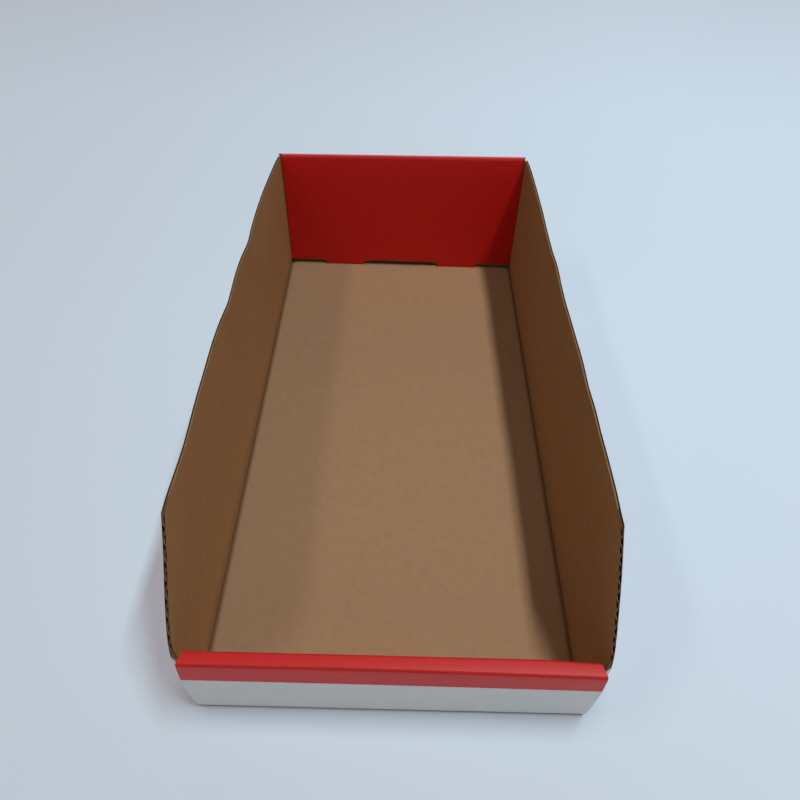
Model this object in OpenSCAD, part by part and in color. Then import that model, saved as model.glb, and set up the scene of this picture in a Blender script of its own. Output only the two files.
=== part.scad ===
// Open-fronted storage bin folded from one blank of corrugated board.
// The base carries two side walls, a low front wall and a full-height back wall. The front and
// back walls are rolled over the side walls' dust flaps and locked by tabs in slots of the base.
// X runs across the bin, Y from the front to the back and Z up; the origin is under the middle.

/* [Bin] */
// Outer width across the side folds
bin_w = 185; // [150:1:260]
// Outer length from the front face to the back face
bin_l = 370; // [250:1:500]
// Height of the side walls and the back wall
bin_h = 95; // [80:1:160]
// Height of the low front wall
front_h = 45; // [30:1:60]
// Distance from the front face to the top corner of a side wall's slanted edge
slant_run = 43; // [20:1:80]

/* [Board] */
// Thickness of the corrugated board
board_t = 2.3; // [1.8:0.1:3]
// Thickness of each liner, as cut open at the slanted edges
liner_t = 0.35; // [0.2:0.05:0.5]
// Thickness of the fluted paper between the liners
flute_t = 0.35; // [0.2:0.05:0.5]
// Distance from one flute to the next
flute_pitch = 6.5; // [5:0.1:9]
// Depth to which the flutes are cut open at the slanted edges
flute_depth = 8; // [2:0.5:12]

/* [Folds] */
// Outer radius of a crease between the base, a wall and its rolled top
crease_r = 1.4; // [0.6:0.1:1.7]
// Outer radius of the upright fold between a side wall and its dust flap
corner_r = 3.2; // [3.1:0.1:5]
// Air left between two layers of board that lie on each other
layer_gap = 0.15; // [0.1:0.05:0.4]

/* [Rolled walls] */
// Air between the end of an inner wall and the side wall beside it
end_gap = 0.3; // [0.1:0.1:1]
// Distance by which the rolled top of the front wall is shorter at each end than its face
top_inset = 1; // [0.5:0.1:3]
// Width of a locking tab
tab_w = 32; // [15:1:45]
// Distance from the middle of the bin to the middle of a tab
tab_x = 46; // [35:1:48]
// Height of an inner wall's shoulders above the base
shoulder_gap = 4.2; // [1:0.1:8]
// Air round a tab in its slot
slot_gap = 0.3; // [0.1:0.1:1]
// Height of a tab's end above the underside of the base
tab_lift = 0.3; // [0.1:0.1:1]

/* [Dust flaps] */
// Length of a dust flap from the side fold to its free end
flap_len = 74; // [30:1:74]
// Height that a dust flap's free end loses at its top and at its bottom
flap_taper = 5; // [0:0.5:8]

/* [Bow of the side walls] */
// Distance by which the top edge of a side wall bows out
bow = 5.5; // [0:0.5:10]
// Distance from the front face to the fullest part of the bow
bow_y = 92; // [80:1:120]
// Share of the bow that the front fold holds back
bow_hold = 0.6; // [0:0.05:1]
// Distance over which the front fold's hold fades
bow_fade = 6; // [3:0.5:20]

/* [Hidden] */
$fn = 48;
// Powers of the bow's curve up the wall and of its fall towards the back corner
bow_up_power = 2.5;
bow_back_power = 2.4;
// Steps of a side wall's sheet: round a corner, along the slanted edge, behind it, and up the wall
corner_steps = 4;
slant_steps = 8;
length_steps = 14;
height_steps = 8;
// Distance from a rolled wall's outer face to the dust flap inside it, and the wall's whole depth
flap_y = board_t + layer_gap;
wall_d = 3 * board_t + 2 * layer_gap;
// Overlap that joins two stretches of the blank
join = 0.2;

// Share of the bow reached at height z: none at the base fold, all of it at the top edge
function bow_up(z) = 1 - pow(1 - min(z / bin_h, 1), bow_up_power);
// Share of the bow at distance y from the front face: held back by the front fold,
// full at bow_y, and falling to none at the back fold
function bow_along(y) =
    (1 - bow_hold * exp(-(y - flap_y) / bow_fade))
    * (y < bow_y ? 1 : 1 - pow(min((y - bow_y) / (bin_l - flap_y - bow_y), 1), bow_back_power));
function bow_at(y, z) = bow * bow_up(z) * bow_along(y);

// Height of a side wall's top edge at distance y from the front face
slant_y = flap_y + corner_r;
function side_top(y) =
    front_h + (bin_h - front_h) * min(max((y - slant_y) / (slant_run - slant_y), 0), 1);

// Stations along a side wall and its dust flaps, seen from above, from one free end to the other.
// Each is [outer x, outer y, inner x, inner y, lowest z, highest z].
function flap_z(h, end) = [flap_y + flap_taper * end, h - flap_y - flap_taper * end];
function flap_station(x, back, end) =
    let (h = back ? bin_h : front_h, z = flap_z(h, end))
    [x, back ? bin_l - flap_y : flap_y, x, back ? bin_l - flap_y - board_t : flap_y + board_t, z[0], z[1]];
// On an upright fold the flap's edges keep their height up to the turn at which the sheet is clear
// of the rolled wall's end, and run out into the wall's own edges from there on
clear_turn = asin(max(1 - end_gap / (corner_r - board_t), 0));
function corner_station(a, back) =
    let (
        h = back ? bin_h : front_h,
        cx = bin_w / 2 - corner_r,
        cy = flap_y + corner_r,
        ro = corner_r,
        ri = corner_r - board_t,
        hold = flap_y * (1 - max((a - clear_turn) / (90 - clear_turn), 0)),
        yo = cy - ro * cos(a),
        yi = cy - ri * cos(a)
    )
    [
        cx + ro * sin(a), back ? bin_l - yo : yo,
        cx + ri * sin(a), back ? bin_l - yi : yi,
        hold, h - hold
    ];
corner_turns = [
    0, clear_turn / 2,
    for (i = [0 : corner_steps]) clear_turn + (90 - clear_turn) * i / corner_steps
];
function wall_station(y) = [bin_w / 2, y, bin_w / 2 - board_t, y, 0, side_top(y)];

flap_x = bin_w / 2 - flap_len;
taper_x = flap_x + 2 * flap_taper;
back_y = bin_l - slant_y;
stations = [
    flap_station(flap_x, false, 1),
    flap_station(taper_x, false, 0),
    for (a = corner_turns) corner_station(a, false),
    for (i = [1 : slant_steps]) wall_station(slant_y + (slant_run - slant_y) * pow(i / slant_steps, 1.4)),
    for (i = [1 : length_steps - 1]) wall_station(slant_run + (back_y - slant_run) * i / length_steps),
    for (i = [len(corner_turns) - 1 : -1 : 0]) corner_station(corner_turns[i], true),
    flap_station(taper_x, true, 0),
    flap_station(flap_x, true, 1)
];

// Heights of the rows at one station: close together round the base crease, then evenly spaced
crease_rows = [0, 0.15, 0.5, 1];
function row_z(s, j) =
    let (lip = crease_r, n = len(crease_rows) - 1)
    j <= n ? s[4] + lip * crease_rows[j]
           : s[4] + lip + (s[5] - s[4] - lip) * (j - n) / height_steps;
rows = len(crease_rows) + height_steps;
// Distance by which the outer face draws in round the base crease
function crease_in(z) = z < crease_r ? crease_r - sqrt(pow(crease_r, 2) - pow(crease_r - z, 2)) : 0;

// One side wall with both dust flaps: a sheet of board_t that follows the stations, bowed outwards.
// Outer and inner faces are grids of points, station by station and row by row.
module side_sheet() {
    n = len(stations);
    m = rows;
    outer = [
        for (s = stations) for (j = [0 : m - 1]) let (z = row_z(s, j))
            [s[0] + bow_at(s[1], z) - crease_in(z), s[1], z]
    ];
    inner = [
        for (s = stations) for (j = [0 : m - 1]) let (z = row_z(s, j))
            [s[2] + bow_at(s[1], z), s[3], z]
    ];
    k = n * m;
    faces = [
        for (i = [0 : n - 2]) for (j = [0 : m - 2]) let (a = i * m + j, b = a + m) each [
            [a, b + 1, b], [a, a + 1, b + 1],
            [k + a, k + b, k + b + 1], [k + a, k + b + 1, k + a + 1]
        ],
        for (i = [0 : n - 2]) let (a = i * m, b = a + m, c = a + m - 1, d = c + m) each [
            [a, b, k + b], [a, k + b, k + a],
            [c, k + d, d], [c, k + c, k + d]
        ],
        for (j = [0 : m - 2]) let (a = j, b = (n - 1) * m + j) each [
            [a, k + a, k + a + 1], [a, k + a + 1, a + 1],
            [b, b + 1, k + b + 1], [b, k + b + 1, k + b]
        ]
    ];
    polyhedron(concat(outer, inner), faces, convexity = 6);
}

// Flutes opened at a slanted edge: cells that stand by turns on the outer and on the inner liner
cell_wide = flute_pitch * 0.35;
cell_narrow = flute_pitch / 2 - flute_t * 1.6 - cell_wide;
module flute_cell(outward) {
    wide_x = outward ? board_t - liner_t : liner_t;
    narrow_x = board_t - wide_x;
    polygon([[wide_x, -cell_wide], [wide_x, cell_wide], [narrow_x, cell_narrow], [narrow_x, -cell_narrow]]);
}
module flute_cells() {
    lowest = front_h + flute_pitch / 2;
    count = floor((bin_h - lowest - cell_wide - liner_t) / (flute_pitch / 2));
    for (k = [0 : count]) {
        z = lowest + k * flute_pitch / 2;
        y = slant_y + (z - front_h) / (bin_h - front_h) * (slant_run - slant_y);
        turn = atan((bow_at(y + flute_depth, z) - bow_at(y, z)) / flute_depth);
        lean = atan((bow_at(y, z + 1) - bow_at(y, z - 1)) / 2);
        translate([bin_w / 2 - board_t + bow_at(y, z), y, z])
            rotate([0, 0, -turn]) rotate([-90, 0, 0]) rotate([0, 0, lean])
                translate([0, 0, -flute_pitch / 2])
                    linear_extrude(flute_pitch / 2 + flute_depth) flute_cell(k % 2 == 0);
    }
}

module side_wall() {
    difference() {
        side_sheet();
        flute_cells();
    }
}

// Corner to take off a square edge so that a crease of radius r is left
module crease_cut(r) {
    difference() {
        translate([-join, -join]) square(r + join);
        translate([r, r]) circle(r);
    }
}

// Section of a rolled wall of height h, from the base up the face and over the top: x is its depth
module rolled_section(h) {
    difference() {
        union() {
            square([board_t, h]);
            square([flap_y + join, board_t]);
            translate([0, h - board_t]) square([wall_d, board_t]);
        }
        crease_cut(crease_r);
        translate([0, h]) mirror([0, 1]) crease_cut(crease_r);
        translate([wall_d, h]) rotate(180) crease_cut(crease_r);
    }
}

// A rolled wall of height h whose face lies on y = 0. Its rolled top is top_half wide on each side.
module rolled_wall(h, top_half) {
    half = bin_w / 2;
    inner_half = half - board_t - end_gap;
    foot = board_t + shoulder_gap;
    intersection() {
        translate([-half, 0, 0]) rotate([90, 0, 90]) linear_extrude(bin_w) rolled_section(h);
        linear_extrude(h)
            polygon([
                [-half, 0], [half, 0], [half, board_t / 3], [top_half, flap_y], [top_half, wall_d],
                [-top_half, wall_d], [-top_half, flap_y], [-half, board_t / 3]
            ]);
    }
    translate([-inner_half, wall_d - board_t, foot])
        cube([2 * inner_half, board_t, h - crease_r - foot]);
    for (x = [-tab_x, tab_x])
        translate([x - tab_w / 2, wall_d - board_t, tab_lift])
            cube([tab_w, board_t, foot + join - tab_lift]);
}

module slots() {
    for (x = [-tab_x, tab_x])
        translate([x - tab_w / 2 - slot_gap, wall_d - board_t - slot_gap, -join])
            cube([tab_w + 2 * slot_gap, board_t + 2 * slot_gap, board_t + 2 * join]);
}

module base() {
    half = bin_w / 2 - crease_r;
    difference() {
        translate([-half, flap_y, 0]) cube([2 * half, bin_l - 2 * flap_y, board_t]);
        slots();
        translate([0, bin_l, 0]) mirror([0, 1, 0]) slots();
    }
}

module bin() {
    color("#8f7054") translate([0, -bin_l / 2, 0]) union() {
        base();
        side_wall();
        mirror([1, 0, 0]) side_wall();
        rolled_wall(front_h, min(bin_w / 2 - top_inset,
            bin_w / 2 - board_t - end_gap + bow_at(flap_y, front_h - board_t)));
        translate([0, bin_l, 0]) mirror([0, 1, 0]) rolled_wall(bin_h, bin_w / 2 - board_t - end_gap);
    }
}

bin();
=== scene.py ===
"""Looks of a corrugated storage bin, folded from one blank of board.

Every board is built from its two liners and the fluted paper between them. Points are worked out in
millimetres, with X across the bin, Y from the front face to the back and Z up from the table, and are
moved to the model's frame in metres at the end.
"""

import math

import bpy
import numpy as np
from mathutils import Matrix, Vector


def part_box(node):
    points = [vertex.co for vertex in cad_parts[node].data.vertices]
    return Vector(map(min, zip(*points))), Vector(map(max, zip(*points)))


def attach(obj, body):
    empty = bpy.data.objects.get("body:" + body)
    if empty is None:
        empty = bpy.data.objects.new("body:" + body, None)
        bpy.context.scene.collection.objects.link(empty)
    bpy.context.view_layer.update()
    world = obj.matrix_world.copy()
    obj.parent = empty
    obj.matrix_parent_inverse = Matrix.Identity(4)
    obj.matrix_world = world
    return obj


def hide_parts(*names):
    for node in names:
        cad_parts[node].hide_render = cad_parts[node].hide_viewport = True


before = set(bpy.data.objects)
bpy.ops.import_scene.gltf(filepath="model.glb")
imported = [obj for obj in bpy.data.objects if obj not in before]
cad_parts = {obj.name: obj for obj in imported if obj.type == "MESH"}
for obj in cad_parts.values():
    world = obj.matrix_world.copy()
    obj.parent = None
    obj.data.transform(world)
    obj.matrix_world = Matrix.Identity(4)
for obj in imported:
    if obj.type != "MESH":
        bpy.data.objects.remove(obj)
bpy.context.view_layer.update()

MM = 0.001
LOWEST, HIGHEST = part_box("bin")

# The bin: outer width across the side folds, length, rim height and height of the low front wall
WIDTH = 185.0
LENGTH = (HIGHEST.y - LOWEST.y) / MM
HEIGHT = HIGHEST.z / MM
FRONT_HEIGHT = 45.0
SLANT_RUN = 43.0

# The board: whole thickness, one liner, slit beside the outer liner, and air beside the inner one
BOARD = 2.3
LINER = 0.22
SLIT = 0.5
LAYER_AIR = 0.02
# How far the fluted paper stands back from a cut edge
CORE_RECESS = 0.8
# A cutting rule crushes the board: how much thinner it is at the edge, and how soon it recovers
CRUSH = 0.7
CRUSH_REACH = 1.5

# The flutes opened at the slanted edges: pitch, paper thickness, depth of the hollow
FLUTE_PITCH = 6.5
FLUTE_PAPER = 0.2
FLUTE_HOLLOW = 9.5

# Folds: outer radius of a crease, inner radius of a crushed one, outer radius of an upright fold
CREASE_R = 1.4
CRUSHED_R = 0.25
CORNER_R = 3.2
LAYER_GAP = 0.15
FLAP_Y = BOARD + LAYER_GAP
WALL_DEPTH = 3 * BOARD + 2 * LAYER_GAP
SLANT_Y = FLAP_Y + CORNER_R
SLANT_RISE = (HEIGHT - FRONT_HEIGHT) / (SLANT_RUN - SLANT_Y)

# Strips of base that belong to the side boards and to the rolled walls, and the groove at a crease
SIDE_LIP = 6.0
END_LIP = 4.2
GROOVE = 1.3
GROOVE_DIP = 1.3

# Dust flaps, locking tabs and their slots
FLAP_LENGTH = 74.0
FLAP_TAPER = 5.0
END_GAP = 0.3
INNER_HALF = WIDTH / 2 - BOARD - END_GAP
TAB_X = 46.0
TAB_WIDTH = 32.0
TAB_LIFT = 0.3
SLOT_GAP = 0.3
SHOULDER = BOARD + 4.2

# Printed red band below the crease of a rolled top
BAND = 14.8
# The red of the printed field also covers the front wall's foot, up to this far above the middle of its fold,
# where it shows as a thin dark reddish line
FOOT_INK = 0.6
NO_PRINT = -50.0

# Bow of each side wall: its fullest, where that is and how fast it falls towards the back, how fully
# it stands out low down, and how much the front fold holds back and over what distance. The rim
# itself waves: its stations are distances from the front face and how far it stands out there.
SIDES = {
    "left": {
        "sign": -1, "full": 6.4, "full_y": 110.0, "fall": 3.0, "up": 2.5, "hold": 0.5, "fade": 2.5,
        "rim": (
            (0, 6.0), (30, 6.0), (50, 6.8), (64, 6.45), (79, 6.1), (94, 6.45), (110, 6.95), (130, 7.15),
            (156, 7.35), (170, 6.85), (179, 6.15), (187, 5.5), (194, 5.65), (203, 5.95), (215, 6.2),
            (227, 6.0), (236, 5.5), (245, 4.65), (251, 4.45), (260, 4.9), (272, 5.15), (290, 5.1),
            (311, 4.5), (333, 3.2), (345, 2.4), (357, 1.4), (367.5, 0),
        ),
    },
    "right": {
        "sign": 1, "full": 5.5, "full_y": 60.0, "fall": 2.2, "up": 4.0, "hold": 0.6, "fade": 2.0,
        "rim": (
            (0, 5.6), (30, 5.4), (44, 4.85), (60, 5.2), (82, 5.15), (97, 4.9), (110, 5.0),
            (128, 4.35), (140, 4.6), (153, 4.5), (166, 4.05), (180, 3.7), (195, 3.2), (210, 3.15), (222, 3.4), (234, 3.45), (246, 2.85),
            (262, 2.6), (275, 2.5), (292, 2.65), (311, 2.4), (333, 1.95), (344, 1.65), (356, 1.0),
            (367.5, 0),
        ),
    },
}
# Height above which the wave of the rim shows more and more
WAVE_FROM_Z = 55.0
# Rows of points close to a side wall's cut edge, by their distance below it
CUT_ROWS = np.array([5.5, 3.6, 2.4, 1.6, 1.0, 0.5, 0.0])
# Points on the arc of a fold, and the angle in degrees from which an edge shows as sharp
FOLD_POINTS = 7
SHARP_FROM = 40

# Warp of the back wall's top: its left end sags, its right end stands proud and all leans left
BACK_TOP_MEAN = 0.6
BACK_TOP_TWIST = 1.4
BACK_TOP_SHIFT = -0.7
BACK_WARP_FROM = LENGTH - 70.0
# The inner fold of the back wall's top stands higher than the outer one, and is rounder
BACK_FOLD_RISE = 0.8
BACK_FOLD_R = 2.2
# The back wall's roll is pressed thinner at its top by this much
BACK_ROLL_PRESS = 1.6
# How far the right end of the back wall's top is drawn in, and from which height
BACK_END_IN = 1.2
BACK_END_FROM_Z = 70.0

# Lean of the front wall's top towards the viewer, from FRONT_LEAN_FROM to the right end
FRONT_LEAN = 1.2
FRONT_LEAN_FROM = -20.0
# From here to the right end the inner fold of the front wall's top leans with the outer one
FRONT_END_FROM = 60.0
# The front fold's foot: its outer radius, and how far it curls up from the table
FRONT_FOOT_R = 2.8
FRONT_FOOT_LIFT = 0.9
FRONT_FOOT_FADE = 12.0

# Finishes, in the order of each piece's material slots
PRINTED, KRAFT, EDGE, MEDIUM = range(4)


def smooth_step(t):
    """Zero below 0, one above 1 and 3t² - 2t³ between."""
    t = np.clip(t, 0, 1)
    return t * t * (3 - 2 * t)


def lerp(a, b, t):
    return a + (b - a) * t


def to_frame(points):
    """Warps the back wall's top and turns millimetres from the front face into metres in the frame.

    The warp shifts a point sideways and lifts it by a mean and a twist that grows with x, all times
    (z / height) to the power 1.5, and fades in over the last stretch before the back wall.
    """
    x, y, z = np.moveaxis(points, -1, 0)
    share = (np.clip(z, 0, None) / HEIGHT) ** 1.5
    share = share * smooth_step((y - BACK_WARP_FROM) / (LENGTH - BACK_WARP_FROM))
    lift = (BACK_TOP_MEAN + BACK_TOP_TWIST * x / (WIDTH / 2)) * share
    return np.stack([x + BACK_TOP_SHIFT * share, y - LENGTH / 2, z + lift], axis=-1) * MM


def sheet_of_paper(outer, inner, marks, keep, finish):
    """A closed sheet between two grids of points.

    Cells of the grid where keep is true get a face on each grid. A wall closes every side of a kept
    cell that has no kept neighbour. Faces are turned so that the outer grid's normals point from the
    inner grid to the outer one. finish gives the material of the outer face, inner face and walls.
    """
    n, m = outer.shape[:2]
    index = np.arange(n * m).reshape(n, m)
    a, b = index[:-1, :-1], index[1:, :-1]
    c, d = index[1:, 1:], index[:-1, 1:]
    back = n * m
    across = outer[1:, :-1] - outer[:-1, :-1]
    up = outer[:-1, 1:] - outer[:-1, :-1]
    turned = np.sum((np.cross(across, up) * (outer - inner)[:-1, :-1]).sum(-1)[keep]) < 0

    ring = np.pad(keep, 1)
    low_side = keep & ~ring[1:-1, :-2]
    high_side = keep & ~ring[1:-1, 2:]
    first_side = keep & ~ring[:-2, 1:-1]
    last_side = keep & ~ring[2:, 1:-1]

    def wall(where, p, q):
        return np.stack([p[where], p[where] + back, q[where] + back, q[where]], axis=1)

    faces = np.stack([a[keep], b[keep], c[keep], d[keep]], axis=1)
    behind = np.stack([a[keep], d[keep], c[keep], b[keep]], axis=1) + back
    walls = np.concatenate([
        wall(low_side, a, b), wall(high_side, c, d), wall(first_side, d, a), wall(last_side, b, c),
    ])
    quads = np.concatenate([faces, behind, walls])
    if turned:
        quads = quads[:, ::-1]
    materials = np.repeat(finish, [len(faces), len(behind), len(walls)])
    points = np.concatenate([outer.reshape(-1, 3), inner.reshape(-1, 3)])
    flat_marks = marks.reshape(-1, marks.shape[-1])
    used, quads = np.unique(quads, return_inverse=True)
    quads = quads.reshape(-1, 4)
    return points[used], np.concatenate([flat_marks, flat_marks])[used], quads, materials


def layered(grid, keep, core_grid, core_keep):
    """The three papers of a board, from functions that give a grid of points at a depth.

    Depth is 0 on the outer face and 1 on the inner one. grid and core_grid return points and marks.
    """
    liner = LINER / BOARD
    outside, marks = grid(0.0)
    core_marks = core_grid(0.5)[1]
    core_from = (LINER + SLIT) / BOARD
    core_to = 1 - (LINER + LAYER_AIR) / BOARD
    return [
        sheet_of_paper(outside, grid(liner)[0], marks, keep, (PRINTED, MEDIUM, EDGE)),
        sheet_of_paper(
            core_grid(core_from)[0], core_grid(core_to)[0], core_marks, core_keep, (MEDIUM, MEDIUM, MEDIUM)
        ),
        sheet_of_paper(grid(1 - liner)[0], grid(1.0)[0], marks, keep, (MEDIUM, KRAFT, EDGE)),
    ]


def make_piece(name, sheets, materials):
    """One object from several closed sheets, smooth apart from edges sharper than the crease angle.

    Marks become three attributes: board_mm is the place on the flat board, across and along the
    flutes, print_mm the distance inside the printed field and crease_mm the distance from a crease.
    """
    start = np.cumsum([0] + [len(s[0]) for s in sheets[:-1]])
    points = to_frame(np.concatenate([s[0] for s in sheets]))
    marks = np.concatenate([s[1] for s in sheets])
    quads = np.concatenate([s[2] + first for s, first in zip(sheets, start)])
    mesh = bpy.data.meshes.new(name)
    mesh.vertices.add(len(points))
    mesh.vertices.foreach_set("co", points.astype(np.float32).ravel())
    mesh.loops.add(quads.size)
    mesh.loops.foreach_set("vertex_index", quads.astype(np.int32).ravel())
    mesh.polygons.add(len(quads))
    mesh.polygons.foreach_set("loop_start", np.arange(0, quads.size, 4, dtype=np.int32))
    mesh.polygons.foreach_set("material_index", np.concatenate([s[3] for s in sheets]).astype(np.int32))
    mesh.update(calc_edges=True)
    mesh.validate()
    place = np.zeros((len(points), 3), np.float32)
    place[:, :2] = marks[:, :2]
    mesh.attributes.new("board_mm", "FLOAT_VECTOR", "POINT").data.foreach_set("vector", place.ravel())
    for column, label in ((2, "print_mm"), (3, "crease_mm")):
        values = marks[:, column].astype(np.float32)
        mesh.attributes.new(label, "FLOAT", "POINT").data.foreach_set("value", values)
    mesh.shade_smooth()
    mesh.set_sharp_from_angle(angle=math.radians(SHARP_FROM))
    for material in materials:
        mesh.materials.append(material)
    piece = bpy.data.objects.new(name, mesh)
    bpy.context.scene.collection.objects.link(piece)
    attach(piece, "root")
    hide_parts("bin")
    return piece


def all_cells(points):
    return np.ones((points.shape[0] - 1, points.shape[1] - 1), bool)


def between(lines, low, high):
    """True for each stretch of a row of lines whose middle lies between low and high."""
    middle = (lines[:-1] + lines[1:]) / 2
    return (middle > low) & (middle < high)


def lines_through(marks, spacing):
    """A row of lines that passes through every mark, at most spacing apart."""
    marks = sorted(marks)
    parts = [
        np.linspace(low, high, max(math.ceil((high - low) / spacing), 1), endpoint=False)
        for low, high in zip(marks[:-1], marks[1:])
    ]
    return np.concatenate(parts + [[marks[-1]]])


def smooth_line(stations, at):
    """A line through stations, each piece a cubic that keeps the slope of its neighbours."""
    place, value = np.array(stations, float).T
    slope = np.gradient(value, place)
    i = np.clip(np.searchsorted(place, at) - 1, 0, len(place) - 2)
    gap = place[i + 1] - place[i]
    t = np.clip((at - place[i]) / gap, 0, 1)
    ends = value[i] * (1 + 2 * t) * (1 - t) ** 2 + value[i + 1] * t ** 2 * (3 - 2 * t)
    return ends + gap * (slope[i] * t * (1 - t) ** 2 - slope[i + 1] * t ** 2 * (1 - t))


def bow(side, y, z):
    """Distance by which a side wall stands out at a point.

    Up the wall it is 1 - (1 - t)^up of the fullest bow, with t the height above the base as a share.
    Along the wall it grows from what the front fold holds back, is full at full_y and falls to none
    at the back fold. Near the rim it turns into the rim's own wave.
    """
    t = np.clip((z - BOARD) / (HEIGHT - BOARD), 0, 1)
    up = 1 - (1 - t) ** side["up"]
    rest = np.clip((y - side["full_y"]) / (LENGTH - FLAP_Y - side["full_y"]), 0, 1)
    along = side["full"] * (1 - rest ** side["fall"])
    wave = smooth_step((z - WAVE_FROM_Z) / (HEIGHT - WAVE_FROM_Z))
    held = 1 - side["hold"] * np.exp(-np.clip(y - FLAP_Y, 0, None) / side["fade"])
    return lerp(along, smooth_line(side["rim"], y), wave) * up * held


def side_top(y, hollow):
    """Height of a side board at distance y: the slanted edge, moved back by hollow, up to the rim."""
    t = np.clip((y - hollow - SLANT_Y) / (SLANT_RUN - SLANT_Y), 0, 1)
    return lerp(FRONT_HEIGHT, HEIGHT, t)


def crushed(y, z, cut):
    """Share of the board's thickness that its cut edge has lost, a bell curve of the distance to it.

    The edge is the nearer of a level one at height cut and the slanted one.
    """
    to_slant = (FRONT_HEIGHT + SLANT_RISE * (y - SLANT_Y) - z) / math.hypot(1, SLANT_RISE)
    distance = np.where(cut < HEIGHT, cut - z, np.minimum(HEIGHT - z, to_slant))
    return CRUSH / BOARD * np.exp(-((distance / CRUSH_REACH) ** 2))


def corner_columns(height, inset):
    """Columns of a dust flap and its upright fold.

    A column is its outer x and y, inner x and y, bottom, top, and the height of the cut above it.

    On the fold the flap's edges keep clear of the rolled wall and run out into the side wall's own
    edges, as the sheet turns past the wall's end. At the front the slanted cut runs on down the fold.
    """
    at_front = height == FRONT_HEIGHT
    flap_x = np.array([WIDTH / 2 - FLAP_LENGTH + inset, WIDTH / 2 - FLAP_LENGTH + 2 * FLAP_TAPER, 60.0])
    taper = np.array([FLAP_TAPER, 0.0, 0.0])
    flat = np.full(3, FLAP_Y)
    top = height - (SLANT_RISE * CORNER_R if at_front else FLAP_Y) - taper
    flap = np.stack([flap_x, flat, flap_x, flat + BOARD, flat + taper, top, top], axis=1)
    turn = np.radians(np.linspace(0, 90, 9)[:-1])
    clear = math.asin(1 - END_GAP / (CORNER_R - BOARD))
    hold = FLAP_Y * (1 - np.clip((turn - clear) / (math.pi / 2 - clear), 0, 1))
    top_hold = SLANT_RISE * CORNER_R * np.cos(turn) if at_front else hold
    x, y = WIDTH / 2 - CORNER_R, FLAP_Y + CORNER_R
    inner_r = CORNER_R - BOARD
    fold = np.stack([
        x + CORNER_R * np.sin(turn), y - CORNER_R * np.cos(turn),
        x + inner_r * np.sin(turn), y - inner_r * np.cos(turn), np.maximum(hold, CREASE_R),
        height - top_hold, height - top_hold,
    ], axis=1)
    return np.concatenate([flap, fold])


def side_columns(hollow, inset):
    """All columns of a side board from one dust flap's free end to the other's, and which are wall."""
    front = corner_columns(FRONT_HEIGHT, inset)
    back = corner_columns(HEIGHT, inset)[::-1]
    back[:, [1, 3]] = LENGTH - back[:, [1, 3]]
    stops = [SLANT_Y, SLANT_Y + FLUTE_HOLLOW, SLANT_RUN, SLANT_RUN + FLUTE_HOLLOW]
    dense = lines_through(stops, 3.0)[:-1]
    y = np.concatenate([dense, lines_through([stops[-1], LENGTH - SLANT_Y], 3.6)])
    half = np.full(len(y), WIDTH / 2)
    low, cut = np.full(len(y), CREASE_R), np.full(len(y), HEIGHT)
    wall = np.stack([half, y, half - BOARD, y, low, side_top(y, hollow), cut], axis=1)
    columns = np.concatenate([front, wall, back])
    columns[:, 5] -= inset
    is_wall = np.zeros(len(columns), bool)
    is_wall[len(front):len(front) + len(y)] = True
    return columns, is_wall


def side_grid(side, columns, is_wall, depth):
    """Points of a side board at a depth, column by column.

    The rows run from the strip of base, round the crease and up the wall. The outer crease is an arc.
    The inner one is a groove, a parabola whose ends lie on the base and on the wall.
    """
    quarter = np.linspace(0, math.pi / 2, FOLD_POINTS)
    outer_in = np.concatenate([[SIDE_LIP], CREASE_R - CREASE_R * np.sin(quarter)])
    outer_z = np.concatenate([[0.0], CREASE_R - CREASE_R * np.cos(quarter)])
    q = np.linspace(0, 1, len(quarter))
    corner = BOARD - GROOVE_DIP
    groove_in = (1 - q) ** 2 * (BOARD + GROOVE) + 2 * q * (1 - q) * corner + q ** 2 * BOARD
    inner_in = np.concatenate([[SIDE_LIP], groove_in])
    inner_z = np.concatenate([[BOARD], groove_in[::-1]])
    v = np.linspace(0, 1, 14)[1:]

    xo, yo, xi, yi, low, top, cut = (c[:, None] for c in columns.T)
    inner_low = np.where(is_wall[:, None], BOARD + GROOVE, low)
    crease_rows = len(outer_in)
    ones = np.ones((len(columns), 1))
    last = (np.arange(crease_rows) == crease_rows - 1)[None, :]
    first_z_out = np.where(is_wall[:, None], outer_z * ones, np.where(last, low, outer_z * ones))
    first_z_in = np.where(is_wall[:, None], inner_z * ones, np.where(last, low, inner_z * ones))
    near_cut = top - CUT_ROWS
    z_out = np.concatenate([first_z_out, lerp(low, near_cut[:, :1], v), near_cut[:, 1:]], axis=1)
    z_in = np.concatenate([first_z_in, lerp(inner_low, near_cut[:, :1], v), near_cut[:, 1:]], axis=1)
    up_rows = len(v) + len(CUT_ROWS) - 1
    drop_out = np.concatenate([outer_in, np.zeros(up_rows)])
    drop_in = np.concatenate([inner_in - BOARD, np.zeros(up_rows)])
    x_out = xo - drop_out + bow(side, yo, z_out)
    x_in = xi - drop_in + bow(side, yi, z_in)
    outer = np.stack([side["sign"] * x_out, yo + 0 * z_out, z_out], axis=-1)
    inner = np.stack([side["sign"] * x_in, yi + 0 * z_in, z_in], axis=-1)
    outer = lerp(outer, inner, crushed(yo, z_out, cut)[..., None])

    steps = np.hypot(*np.diff(columns[:, :2], axis=0).T)
    along = np.concatenate([[0], np.cumsum(steps)])[:, None] + 0 * z_out
    across = z_out - drop_out
    from_base = np.where(drop_in > 0, drop_in, z_in - BOARD)
    folds = along[is_wall, 0][[0, -1]]
    from_fold = np.minimum(np.abs(along - folds[0]), np.abs(along - folds[1]))
    crease = np.minimum(from_base, from_fold)
    marks = np.stack([across, along, np.full_like(z_out, NO_PRINT), crease], axis=-1)
    return lerp(outer, inner, depth), marks


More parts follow.
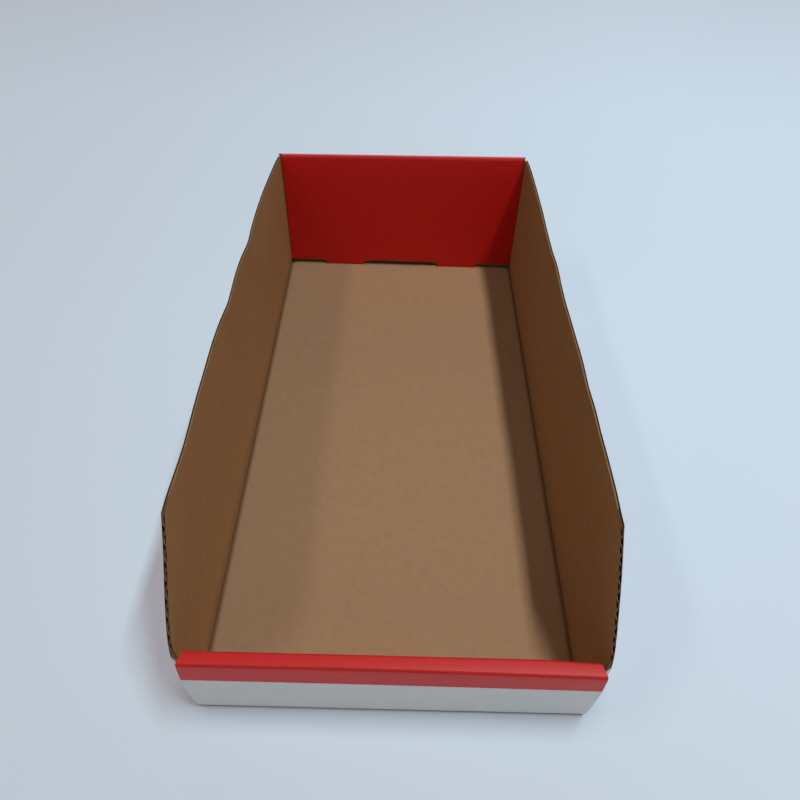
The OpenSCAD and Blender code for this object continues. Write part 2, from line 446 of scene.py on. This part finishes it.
def side_keep(columns, is_wall, rows):
    """Cells of a side board: the strip of base and the crease go with the wall only."""
    keep = np.ones((len(columns) - 1, rows - 1), bool)
    wall_cell = is_wall[:-1] & is_wall[1:]
    keep[~wall_cell, :FOLD_POINTS] = False
    return keep


def flute_ribbon(side):
    """The fluted paper behind a slanted edge.

    Across the flutes it is a wave between the liners, steeper than a sine, and it runs straight back
    from the slanted edge. Its swing follows the crushed board's thickness, and its own thickness is
    measured along the wave's normal.
    """
    z = np.arange(FRONT_HEIGHT - 1.5, HEIGHT - CORE_RECESS, FLUTE_PITCH / 20)[:, None]
    depth = np.array([0.25, 0.8, 1.5, 2.4, 3.6, 5.5, 7.8, FLUTE_HOLLOW + 0.6])[None, :]
    share = np.clip((z - FRONT_HEIGHT) / (HEIGHT - FRONT_HEIGHT), 0, 1)
    y = lerp(SLANT_Y, SLANT_RUN, share) + depth
    thick = BOARD * (1 - crushed(y, z, np.array(HEIGHT)))
    swing = (thick * (1 - 2 * LINER / BOARD) - FLUTE_PAPER) / 2 - LAYER_AIR
    phase = 2 * math.pi * (z - FRONT_HEIGHT) / FLUTE_PITCH
    wave = swing * np.sin(phase + 0.3 * np.sin(2 * phase))
    slope = np.gradient(wave, z[:, 0], axis=0)
    length = np.sqrt(1 + slope ** 2)

    def face(way):
        x = wave + way * FLUTE_PAPER / 2 / length
        up = z - way * FLUTE_PAPER / 2 * slope / length
        out = WIDTH / 2 - BOARD + thick / 2 + x + bow(side, y, up)
        return np.stack([side["sign"] * out, y, up], axis=-1)

    outer, inner = face(1), face(-1)
    place = np.broadcast_to(z, outer.shape[:2])
    run = np.broadcast_to(depth, outer.shape[:2])
    marks = np.stack([place, run, np.full_like(place, NO_PRINT), np.full_like(place, 50.0)], axis=-1)
    return sheet_of_paper(outer, inner, marks, all_cells(outer), (MEDIUM, MEDIUM, MEDIUM))


def side_board(side):
    columns, is_wall = side_columns(0.0, 0.0)
    core, core_wall = side_columns(FLUTE_HOLLOW, CORE_RECESS)
    rows = side_grid(side, columns, is_wall, 0.0)[0].shape[1]
    keep = side_keep(columns, is_wall, rows)
    core_keep = side_keep(core, core_wall, rows)
    sheets = layered(
        lambda depth: side_grid(side, columns, is_wall, depth), keep,
        lambda depth: side_grid(side, core, core_wall, depth), core_keep,
    )
    return sheets + [flute_ribbon(side)]


def fold_arc(y, z, radius, start, end):
    """Points of a fold's quarter turn round a centre, from one angle to another in degrees."""
    turn = np.radians(np.linspace(start, end, FOLD_POINTS))
    return np.stack([y + radius * np.cos(turn), z + radius * np.sin(turn)], axis=1)


def rolled_profile(height, offset, radius, foot_r, fold, inset):
    """Section of a rolled wall at a distance offset inside its outer face, from the base up the face,
    over the top and down inside to the tabs' ends: y is the depth and z the height. foot_r is the
    foot's radius, and fold the radius and rise of the top's inner fold."""
    a = offset + radius
    foot = offset + foot_r
    fold_r, rise = fold
    b = offset + fold_r
    inside_y = WALL_DEPTH - offset
    face_z = np.linspace(foot, height - a, 9)[1:-1]
    inner_z = np.linspace(height + rise - b, SHOULDER + inset, 7)[1:]
    tab_z = np.array([BOARD + 1.0, TAB_LIFT + inset])
    return np.concatenate([
        [[END_LIP, offset]],
        fold_arc(foot, foot, foot_r, -90, -180),
        np.stack([np.full_like(face_z, offset), face_z], axis=1),
        fold_arc(a, height - a, radius, 180, 90),
        fold_arc(WALL_DEPTH - b, height + rise - b, fold_r, 90, 0),
        np.stack([np.full_like(inner_z, inside_y), inner_z], axis=1),
        np.stack([np.full_like(tab_z, inside_y), tab_z], axis=1),
    ])


def front_end(sign, y, z):
    """Half-width of the front wall on one side, as a point's depth and height give it.

    The face is widest two thirds up, narrows a little to the crease and more to its foot. The rolled
    top narrows to its inner edge, and the inner wall below it fits between the side walls.
    """
    foot, wide, crease, top = (89.8, 93.0, 92.5, 90.8) if sign < 0 else (92.0, 94.0, 93.2, 91.6)
    wide_z = 29.0
    below = wide - (wide - foot) * np.clip(1 - z / wide_z, 0, 1) ** 2
    above = lerp(wide, crease, np.clip((z - wide_z) / (FRONT_HEIGHT - wide_z), 0, 1))
    face = np.where(z < wide_z, below, above)
    rolled = lerp(face, top, smooth_step((y - BOARD / 2) / (WALL_DEPTH - BOARD / 2)))
    low = smooth_step((FRONT_HEIGHT - CREASE_R - z) / 6)
    return np.where(y > WALL_DEPTH / 2, lerp(rolled, INNER_HALF, low), rolled)


def back_end(sign, y, z):
    """Half-width of the back wall: its outer face spans the bin, the rest fits between the sides. The
    right end of its top is drawn in, more and more from BACK_END_FROM_Z up."""
    rise = (z - BACK_END_FROM_Z) / (HEIGHT - BACK_END_FROM_Z)
    face = WIDTH / 2 - (BACK_END_IN * smooth_step(rise) if sign > 0 else 0)
    return lerp(face, INNER_HALF, smooth_step((y - BOARD / 2) / (FLAP_Y - BOARD / 2)))


def rolled_sections(height, inset):
    """Outer and inner section of a rolled wall. Only the tall one at the back has a raised fold."""
    at_back = height > FRONT_HEIGHT
    fold_r, rise = (BACK_FOLD_R, BACK_FOLD_RISE) if at_back else (CREASE_R, 0.0)
    foot_r = CREASE_R if at_back else FRONT_FOOT_R
    outer = rolled_profile(height, 0.0, CREASE_R, foot_r, (fold_r, rise), inset)
    inner = rolled_profile(height, BOARD, CRUSHED_R, CRUSHED_R, (CRUSHED_R, rise), inset)
    return outer, inner


def rolled_grid(height, end, inset, depth):
    """Points of a rolled wall at a depth, by lines across the bin and rows along the section.

    The print runs from the band's lower edge on over the top, and at the front the red also covers the foot's
    fold.
    """
    outer, inner = rolled_sections(height, inset)
    tab = TAB_WIDTH / 2 - inset
    stops = [-TAB_X - tab, -TAB_X + tab, TAB_X - tab, TAB_X + tab]
    reach = 85.0
    x = lines_through([-reach] + stops + [reach], 8.0)
    x = np.concatenate([[-WIDTH / 2], x, [WIDTH / 2]])[:, None]
    y, z = (c[None, :] for c in lerp(outer, inner, depth).T)
    left = -end(-1, outer[:, 0], outer[:, 1]) + inset
    right = end(1, outer[:, 0], outer[:, 1]) - inset
    across = np.where(x < -reach, left[None, :], np.where(x > reach, right[None, :], x))
    points = np.stack([across, y + 0 * across, z + 0 * across], axis=-1)
    steps = np.hypot(*np.diff(outer, axis=0).T)
    run = np.concatenate([[0], np.cumsum(steps)])
    band_at = np.interp(height - BAND, outer[:16, 1], run[:16])
    folds = run[[4, 18, 25]]
    crease = np.abs(run[:, None] - folds).min(axis=1)
    printed = run - band_at
    if height == FRONT_HEIGHT:
        printed = np.maximum(printed, folds[0] + FOOT_INK - run)
    shape = points.shape[:2]
    marks = np.stack([
        across, np.broadcast_to(run, shape), np.broadcast_to(printed, shape),
        np.broadcast_to(crease, shape),
    ], axis=-1)
    return points, marks


def rolled_keep(height, end, inset):
    """Cells of a rolled wall: below the shoulders only the tabs remain."""
    x = rolled_grid(height, end, inset, 0.0)[0][:, 0, 0]
    rows = len(rolled_sections(height, inset)[0])
    keep = np.ones((len(x) - 1, rows - 1), bool)
    tab = TAB_WIDTH / 2 - inset
    in_tab = between(x, -TAB_X - tab, -TAB_X + tab) | between(x, TAB_X - tab, TAB_X + tab)
    keep[~in_tab, -2:] = False
    return keep


def rolled_board(height, end, place):
    """The three papers of a rolled wall, each put in its place by a function of points."""
    def grid(depth, inset=0.0):
        points, marks = rolled_grid(height, end, inset, depth)
        return place(points), marks

    return layered(
        grid, rolled_keep(height, end, 0.0),
        lambda depth: grid(depth, CORE_RECESS), rolled_keep(height, end, CORE_RECESS),
    )


def lean_out(points):
    """Leans the front wall's top towards the viewer, more and more towards the right end, and curls
    its foot up a little from the table."""
    x, y, z = np.moveaxis(points, -1, 0)
    t = np.clip((x - FRONT_LEAN_FROM) / (WIDTH / 2 - FRONT_LEAN_FROM), 0, 1.1)
    outer_part = smooth_step((WALL_DEPTH - y) / (WALL_DEPTH - BOARD))
    at_end = smooth_step((x - FRONT_END_FROM) / (WIDTH / 2 - FRONT_END_FROM))
    lean = FRONT_LEAN * t ** 1.5 * (z / FRONT_HEIGHT) ** 2 * lerp(outer_part, 1.0, at_end)
    at_foot = np.clip(1 - y / END_LIP, 0, 1) ** 1.5 * np.clip(1 - z / FRONT_FOOT_FADE, 0, 1)
    return np.stack([x, y - lean, z + FRONT_FOOT_LIFT * at_foot], axis=-1)


def turn_to_back(points):
    """Puts a rolled wall at the back, pressed thinner towards its top. Depth is from the back face."""
    x, y, z = np.moveaxis(points, -1, 0)
    press = BACK_ROLL_PRESS * np.clip(z / HEIGHT, 0, 1) ** 2 * np.clip(y / WALL_DEPTH, 0, 1)
    return np.stack([x, LENGTH - y + press, z], axis=-1)


def base_grid(inset, depth):
    """Points of the base between the strips that belong to its neighbours."""
    tab = TAB_WIDTH / 2 + SLOT_GAP + inset
    edge = WIDTH / 2 - SIDE_LIP
    reach = WIDTH / 2 - BOARD
    slots = [-TAB_X - tab, -TAB_X + tab, TAB_X - tab, TAB_X + tab]
    x = lines_through([-reach, -edge] + slots + [edge, reach], 8.0)
    near, far = slot_span(inset)
    y = lines_through([END_LIP, near, SLANT_Y, far, LENGTH / 2], 8.0)
    y = np.concatenate([y, LENGTH - y[-2::-1]])
    across, along = np.meshgrid(x, y, indexing="ij")
    points = np.stack([across, along, np.full_like(across, BOARD * depth)], axis=-1)
    crease = np.clip(reach - np.abs(across), 0, None)
    marks = np.stack([across, along, np.full_like(across, NO_PRINT), crease], axis=-1)
    return points, marks


def slot_span(inset):
    """Nearest and furthest line of a slot, measured from the wall's outer face."""
    return WALL_DEPTH - BOARD - SLOT_GAP - inset, WALL_DEPTH + SLOT_GAP + inset


def base_keep(inset):
    """Cells of the base: the slots are open, and past the side strips only the corners remain."""
    points = base_grid(inset, 0.0)[0]
    x, y = points[:, 0, 0], points[0, :, 1]
    tab = TAB_WIDTH / 2 + SLOT_GAP + inset
    in_slot_x = between(x, -TAB_X - tab, -TAB_X + tab) | between(x, TAB_X - tab, TAB_X + tab)
    near, far = slot_span(inset)
    in_slot_y = between(y, near, far) | between(y, LENGTH - far, LENGTH - near)
    inside = between(x, SIDE_LIP - WIDTH / 2, WIDTH / 2 - SIDE_LIP)
    at_corner = ~between(y, SLANT_Y, LENGTH - SLANT_Y)
    return (inside[:, None] | at_corner) & ~(in_slot_x[:, None] & in_slot_y)


def base_board():
    return layered(
        lambda depth: base_grid(0.0, depth), base_keep(0.0),
        lambda depth: base_grid(CORE_RECESS, depth), base_keep(CORE_RECESS),
    )


def linear(hex_colour):
    """An sRGB hex colour as a linear RGBA value."""
    channels = [int(hex_colour[i:i + 2], 16) / 255 for i in (1, 3, 5)]
    return [c / 12.92 if c <= 0.04045 else ((c + 0.055) / 1.055) ** 2.4 for c in channels] + [1.0]


def add(tree, kind, values=None, links=None, **settings):
    """Adds a node with its settings, the values of its sockets and the outputs that feed them."""
    node = tree.nodes.new(kind)
    for key, value in settings.items():
        setattr(node, key, value)
    for key, value in (values or {}).items():
        node.inputs[key].default_value = value
    for key, output in (links or {}).items():
        tree.links.new(output, node.inputs[key])
    return node


def new_material(name, roughness, specular):
    material = bpy.data.materials.new(name)
    material.use_nodes = True
    tree = material.node_tree
    tree.nodes.clear()
    shader = add(tree, "ShaderNodeBsdfPrincipled", {"Roughness": roughness, "Specular IOR Level": specular})
    output = add(tree, "ShaderNodeOutputMaterial", links={"Surface": shader.outputs["BSDF"]})
    output.location = (300, 0)
    return material, tree, shader


MIX_FACTOR, MIX_A, MIX_B, MIX_RESULT = 0, 6, 7, 2


def paper_grain(tree):
    """Patterns that every paper of the board shows, in millimetres on the flat board.

    Clouds of pulp are about 5 mm across and mottle about 1.2 mm. Fibres lie across the flutes, drawn
    0.35 by 2.5 mm, a few times coarser than real ones so that they show. The liner dips between the
    tips of the flutes, once per pitch.
    """
    place = add(tree, "ShaderNodeAttribute", attribute_name="board_mm")
    at = place.outputs["Vector"]
    clouds = add(
        tree, "ShaderNodeTexNoise", {"Scale": 1 / 5, "Detail": 3.0, "Roughness": 0.55}, {"Vector": at}
    )
    mottle = add(
        tree, "ShaderNodeTexNoise", {"Scale": 1 / 1.2, "Detail": 2.0, "Roughness": 0.6}, {"Vector": at}
    )
    stretch = add(tree, "ShaderNodeMapping", {"Scale": (1 / 2.5, 1 / 0.35, 1.0)}, {"Vector": at})
    fibres = add(
        tree, "ShaderNodeTexNoise", {"Scale": 1.0, "Detail": 3.0, "Roughness": 0.7, "Distortion": 0.4},
        {"Vector": stretch.outputs["Vector"]},
    )
    split = add(tree, "ShaderNodeSeparateXYZ", links={"Vector": at})
    phase = add(
        tree, "ShaderNodeMath", {1: 2 * math.pi / FLUTE_PITCH}, {0: split.outputs["X"]}, operation="MULTIPLY"
    )
    washboard = add(tree, "ShaderNodeMath", links={0: phase.outputs["Value"]}, operation="SINE")
    return {
        "at": at, "up": split.outputs["X"], "clouds": clouds.outputs["Fac"], "mottle": mottle.outputs["Fac"],
        "fibres": fibres.outputs["Fac"], "washboard": washboard.outputs["Value"],
    }


def mix_colour(tree, factor, a, b):
    """A colour between a and b, each a hex colour or another node's output."""
    values, links = {}, {MIX_FACTOR: factor}
    for socket, colour in ((MIX_A, a), (MIX_B, b)):
        if isinstance(colour, str):
            values[socket] = linear(colour)
        else:
            links[socket] = colour
    node = add(tree, "ShaderNodeMix", values, links, data_type="RGBA")
    return node.outputs[MIX_RESULT]


def ramp(tree, source, low, high, to_low=0.0, to_high=1.0):
    """A value mapped from low..high to to_low..to_high and held there outside."""
    node = add(
        tree, "ShaderNodeMapRange",
        {"From Min": low, "From Max": high, "To Min": to_low, "To Max": to_high}, {"Value": source},
    )
    return node.outputs["Result"]


def bump(tree, height, distance_mm, under=None):
    links = {"Height": height}
    if under is not None:
        links["Normal"] = under
    node = add(tree, "ShaderNodeBump", {"Strength": 1.0, "Distance": distance_mm * MM}, links)
    return node.outputs["Normal"]


def surface_relief(tree, grain, washboard_mm, fibre_mm):
    """Relief of a liner: the washboard over the flutes, with the fibres on it."""
    waves = bump(tree, grain["washboard"], washboard_mm)
    return bump(tree, grain["fibres"], fibre_mm, waves)


def kraft_liner(name, upright):
    """Unbleached kraft paper, calendered but unsized: a matt brown with clouds, fibres and a few
    bark specks. Along every crease it is painted darker, painted shade of the fold's valley. Upright
    walls get a warmer, deeper copy of the base's colour from the crease up, a painted shade tint,
    as walls and base are one paper."""
    material, tree, shader = new_material(name, 0.82, 0.25)
    grain = paper_grain(tree)
    colour = mix_colour(tree, ramp(tree, grain["clouds"], 0.3, 0.7), "#8b6b4e", "#907052")
    # Painted shade tint: upright walls blend into a warmer, deeper copy of the kraft colour from the crease
    # up
    if upright:
        painted_wall_tone = mix_colour(tree, ramp(tree, grain["clouds"], 0.3, 0.7), "#8d643c", "#936a40")
        colour = mix_colour(tree, ramp(tree, grain["up"], 0.0, 3.0), colour, painted_wall_tone)
    colour = mix_colour(tree, ramp(tree, grain["mottle"], 0.35, 0.75, 0.0, 0.14), colour, "#80614a")
    colour = mix_colour(tree, ramp(tree, grain["fibres"], 0.52, 0.8, 0.0, 0.22), colour, "#a58664")
    specks = add(
        tree, "ShaderNodeTexVoronoi", {"Scale": 1 / 4, "Randomness": 1.0}, {"Vector": grain["at"]},
        feature="F1",
    )
    speck = ramp(tree, specks.outputs["Distance"], 0.035, 0.06, 0.3, 0.0)
    colour = mix_colour(tree, speck, colour, "#4f3622")
    crease = add(tree, "ShaderNodeAttribute", attribute_name="crease_mm")
    # Painted shade: the kraft is painted darker along each crease, where the fold's valley lies in shade
    painted_crease_shade = ramp(tree, crease.outputs["Fac"], 0.2, 2.0, 0.8, 0.0)
    colour = mix_colour(tree, painted_crease_shade, colour, "#50300f")
    tree.links.new(colour, shader.inputs["Base Color"])
    tree.links.new(surface_relief(tree, grain, 0.012, 0.01), shader.inputs["Normal"])
    return material


def printed_liner():
    """White-top liner with a flexo-printed red field: smoother than kraft and a little glossy, with
    the ink slightly uneven and its edge soft by a tenth of a millimetre or two. A crease breaks the
    coat and dulls its gloss, and along every crease both white and ink are painted darker, as
    painted shade."""
    material, tree, shader = new_material("white_top_liner", 0.46, 0.3)
    grain = paper_grain(tree)
    white = mix_colour(tree, ramp(tree, grain["clouds"], 0.3, 0.7), "#bfc3c5", "#c2c6c8")
    white = mix_colour(tree, ramp(tree, grain["mottle"], 0.5, 0.8, 0.0, 0.15), white, "#b0b2b2")
    ink = mix_colour(tree, ramp(tree, grain["clouds"], 0.3, 0.7), "#ba100b", "#c1140e")
    ink = mix_colour(tree, ramp(tree, grain["mottle"], 0.45, 0.75, 0.0, 0.2), ink, "#ac0c09")
    ink = mix_colour(tree, ramp(tree, grain["fibres"], 0.62, 0.85, 0.0, 0.1), ink, "#cf5349")
    field = add(tree, "ShaderNodeAttribute", attribute_name="print_mm")
    ragged = ramp(tree, grain["mottle"], 0.0, 1.0, -0.25, 0.25)
    inside = add(tree, "ShaderNodeMath", links={0: field.outputs["Fac"], 1: ragged}, operation="ADD")
    printed = ramp(tree, inside.outputs["Value"], -0.15, 0.15)
    crease = add(tree, "ShaderNodeAttribute", attribute_name="crease_mm")
    # Painted shade: white and ink are painted darker along each crease, at the foot and at the folds of the
    # top
    painted_shade_at_print_creases = ramp(tree, crease.outputs["Fac"], 0.5, 2.2, 0.6, 0.0)
    white = mix_colour(tree, painted_shade_at_print_creases, white, "#6b4a4c")
    ink = mix_colour(tree, painted_shade_at_print_creases, ink, "#8f0a08")
    tree.links.new(mix_colour(tree, printed, white, ink), shader.inputs["Base Color"])
    broken_coat = ramp(tree, crease.outputs["Fac"], 0.4, 2.0, 0.75, 0.0)
    roughness = add(
        tree, "ShaderNodeMath", links={0: broken_coat, 1: ramp(tree, grain["mottle"], 0.3, 0.8, 0.43, 0.5)},
        operation="MAXIMUM",
    )
    tree.links.new(roughness.outputs["Value"], shader.inputs["Roughness"])
    tree.links.new(surface_relief(tree, grain, 0.01, 0.003), shader.inputs["Normal"])
    return material


def cut_edge():
    """Paper cut by a steel rule: matt, furry and darker than the liner's face."""
    material, tree, shader = new_material("cut_paper_edge", 0.95, 0.1)
    grain = paper_grain(tree)
    colour = mix_colour(tree, ramp(tree, grain["fibres"], 0.3, 0.7), "#4c3827", "#5e4732")
    tree.links.new(colour, shader.inputs["Base Color"])
    tree.links.new(bump(tree, grain["fibres"], 0.04), shader.inputs["Normal"])
    return material


def fluting_medium():
    """Fluting paper: recycled brown, unprinted and rough, a shade greyer than the kraft liner."""
    material, tree, shader = new_material("fluting_medium", 0.95, 0.1)
    grain = paper_grain(tree)
    colour = mix_colour(tree, ramp(tree, grain["mottle"], 0.3, 0.7), "#6f553d", "#82664a")
    tree.links.new(colour, shader.inputs["Base Color"])
    tree.links.new(bump(tree, grain["fibres"], 0.03), shader.inputs["Normal"])
    return material


def build_bin():
    """The blank's five boards, each in its folded place."""
    # The side boards' kraft is the base's paper with a painted shade tint on the walls
    kraft, painted_wall_tone = kraft_liner("kraft_liner", False), kraft_liner("kraft_liner_with_painted_shade_tint", True)
    finishes = [printed_liner(), kraft, cut_edge(), fluting_medium()]
    side_finishes = [finishes[PRINTED], painted_wall_tone, finishes[EDGE], finishes[MEDIUM]]
    make_piece("base_board", base_board(), finishes)
    for name, side in SIDES.items():
        make_piece("side_board_" + name, side_board(side), side_finishes)
    make_piece("front_board", rolled_board(FRONT_HEIGHT, front_end, lean_out), finishes)
    make_piece("back_board", rolled_board(HEIGHT, back_end, turn_to_back), finishes)


# The table reaches past the camera's view on every side, in metres
TABLE_HALF = 2.0
# Stretches of table over which its painted light changes, front to back and left to right, in metres
TABLE_PAINTED_LIGHT_Y = (-0.35, 0.5)
TABLE_PAINTED_LIGHT_X = (-0.26, 0.3)
# Reach within which ambient occlusion darkens the table's painted glow beside the bin, as painted shade, in
# metres
PAINTED_SHADE_REACH = 0.014


def seen_ray(tree):
    """1 for what the camera sees, straight or through gloss or glass, and 0 for light on a surface."""
    path = add(tree, "ShaderNodeLightPath")
    seen = path.outputs["Is Camera Ray"]
    for ray in ("Is Glossy Ray", "Is Transmission Ray"):
        both = add(tree, "ShaderNodeMath", links={0: seen, 1: path.outputs[ray]}, operation="MAXIMUM")
        seen = both.outputs["Value"]
    return seen


def table_top():
    """A plain matt table top of one colour, painted paler and bluer towards the back and paler towards
    the right: painted light.

    Half of its paleness is a painted glow, shown to the camera and in gloss or glass only. It lifts
    the bin's shadow on the table to as light as the pale room around would leave it, and ambient
    occlusion darkens it right beside the bin as painted shade. Light that the table gives on meets a
    paler colour than the camera sees, which throws more light on the bin.
    """
    material, tree, shader = new_material("matt_table_top", 0.9, 0.1)
    place = add(tree, "ShaderNodeTexCoord")
    split = add(tree, "ShaderNodeSeparateXYZ", links={"Vector": place.outputs["Object"]})
    far = ramp(tree, split.outputs["Y"], *TABLE_PAINTED_LIGHT_Y)
    right = ramp(tree, split.outputs["X"], *TABLE_PAINTED_LIGHT_X)
    seen = seen_ray(tree)
    # Painted light: the colour the camera sees grows paler and bluer towards the back
    half = mix_colour(tree, far, "#8ea4ac", "#9bb6c1")
    tree.links.new(mix_colour(tree, seen, "#e3e6e8", half), shader.inputs["Base Color"])
    # Painted glow for the camera, paler to the right as painted light; ambient occlusion darkens it beside
    # the bin as painted shade
    tree.links.new(mix_colour(tree, right, "#84777d", "#8f8890"), shader.inputs["Emission Color"])
    painted_contact_shade = add(tree, "ShaderNodeAmbientOcclusion", {"Distance": PAINTED_SHADE_REACH}, samples=6)
    strength = add(
        tree, "ShaderNodeMath", links={0: seen, 1: painted_contact_shade.outputs["AO"]}, operation="MULTIPLY"
    )
    tree.links.new(strength.outputs["Value"], shader.inputs["Emission Strength"])
    mesh = bpy.data.meshes.new("table_top")
    h = TABLE_HALF
    mesh.from_pydata([(-h, -h, 0), (h, -h, 0), (h, h, 0), (-h, h, 0)], [], [(0, 1, 2, 3)])
    mesh.materials.append(material)
    top = bpy.data.objects.new("table_top", mesh)
    bpy.context.scene.collection.objects.link(top)


# Lamps of the room, in metres: place, size across and along the bin, level and colour. The level is
# what each one gives an upward face at the origin, where 1 is plain. All face straight down.
CEILING_LAMPS = {
    "right_strip_lamp": ((0.52, -0.17, 1.74), (0.13, 0.9), 0.81, "#f2f9ff"),
    "left_strip_lamp": ((-1.03, -0.15, 1.74), (0.2, 0.9), 0.17, "#fff0e0"),
    "pale_ceiling": ((0.25, 0.95, 1.74), (1.5, 0.8), 0.01, "#f2f9ff"),
}
# Pale walls of the room, upright and facing the bin: place, size, level and turn about X in degrees
PALE_WALLS = {
    "wall_behind": ((0.3, 2.4, 1.1), (3.2, 1.6), 0.095, -90),
    "wall_in_front": ((-0.3, -2.2, 1.1), (3.0, 1.6), 0.065, 90),
}
ROOM_LEVEL = 0.045


def lamp(name, place, size, power, colour, turn):
    """A rectangular lamp that no view shows itself."""
    light = bpy.data.lights.new(name, "AREA")
    light.shape = "RECTANGLE"
    light.size, light.size_y = size
    light.energy = power
    light.color = linear(colour)[:3]
    holder = bpy.data.objects.new(name, light)
    holder.location = place
    holder.rotation_euler = turn
    holder.visible_camera = False
    bpy.context.scene.collection.objects.link(holder)


def studio_light():
    """Two strip lamps and a pale patch of ceiling, two pale walls and a dim room all round.

    An upward face at level 1 shows its colour as written. A lamp that faces straight down needs the
    power level · pi² · distance⁴ / height², and an upright wall level · pi² · distance⁴ / (height ·
    depth), with the distance from the origin.
    """
    for name, (place, size, level, colour) in CEILING_LAMPS.items():
        distance = Vector(place).length
        power = level * math.pi ** 2 * distance ** 4 / place[2] ** 2
        lamp(name, place, size, power, colour, (0, 0, 0))
    for name, (place, size, level, turn) in PALE_WALLS.items():
        distance = Vector(place).length
        power = level * math.pi ** 2 * distance ** 4 / (abs(place[1]) * place[2])
        lamp(name, place, size, power, "#ffffff", (math.radians(turn), 0, 0))
    world = bpy.data.worlds.new("studio")
    world.use_nodes = True
    tree = world.node_tree
    background = tree.nodes["Background"]
    seen = seen_ray(tree)
    tree.links.new(mix_colour(tree, seen, "#ffdcc0", "#c4d2dc"), background.inputs["Color"])
    tree.links.new(ramp(tree, seen, 0.0, 1.0, ROOM_LEVEL, 1.0), background.inputs["Strength"])
    bpy.context.scene.world = world


# The camera in the photograph: its place in metres, focal length on a 36 mm sensor, and angles in
# degrees: pitch below the horizon, turn to the right of the bin's length, and roll
CAMERA_PLACE = (-0.0015, -0.3146, 0.3415)
CAMERA_LENS = 31.75
CAMERA_SENSOR = 36.0
CAMERA_PITCH, CAMERA_TURN, CAMERA_ROLL = 45.372, 0.565, -1.980


def camera():
    """Points the camera along its pitch and turn, and rolls it about its own axis."""
    pitch, turn, roll = (math.radians(a) for a in (CAMERA_PITCH, CAMERA_TURN, CAMERA_ROLL))
    forward = Vector((math.sin(turn) * math.cos(pitch), math.cos(turn) * math.cos(pitch), -math.sin(pitch)))
    level = Vector((math.cos(turn), -math.sin(turn), 0))
    down = forward.cross(level)
    right = math.cos(roll) * level + math.sin(roll) * down
    up = math.sin(roll) * level - math.cos(roll) * down
    data = bpy.data.cameras.new("camera")
    data.sensor_fit = "HORIZONTAL"
    data.sensor_width = CAMERA_SENSOR
    data.lens = CAMERA_LENS
    view = bpy.data.objects.new("camera", data)
    view.matrix_world = Matrix.Translation(CAMERA_PLACE) @ Matrix((right, up, -forward)).transposed().to_4x4()
    bpy.context.scene.collection.objects.link(view)
    bpy.context.scene.camera = view


camera()
table_top()
studio_light()
bpy.context.scene.view_settings.view_transform = "Standard"
build_bin()
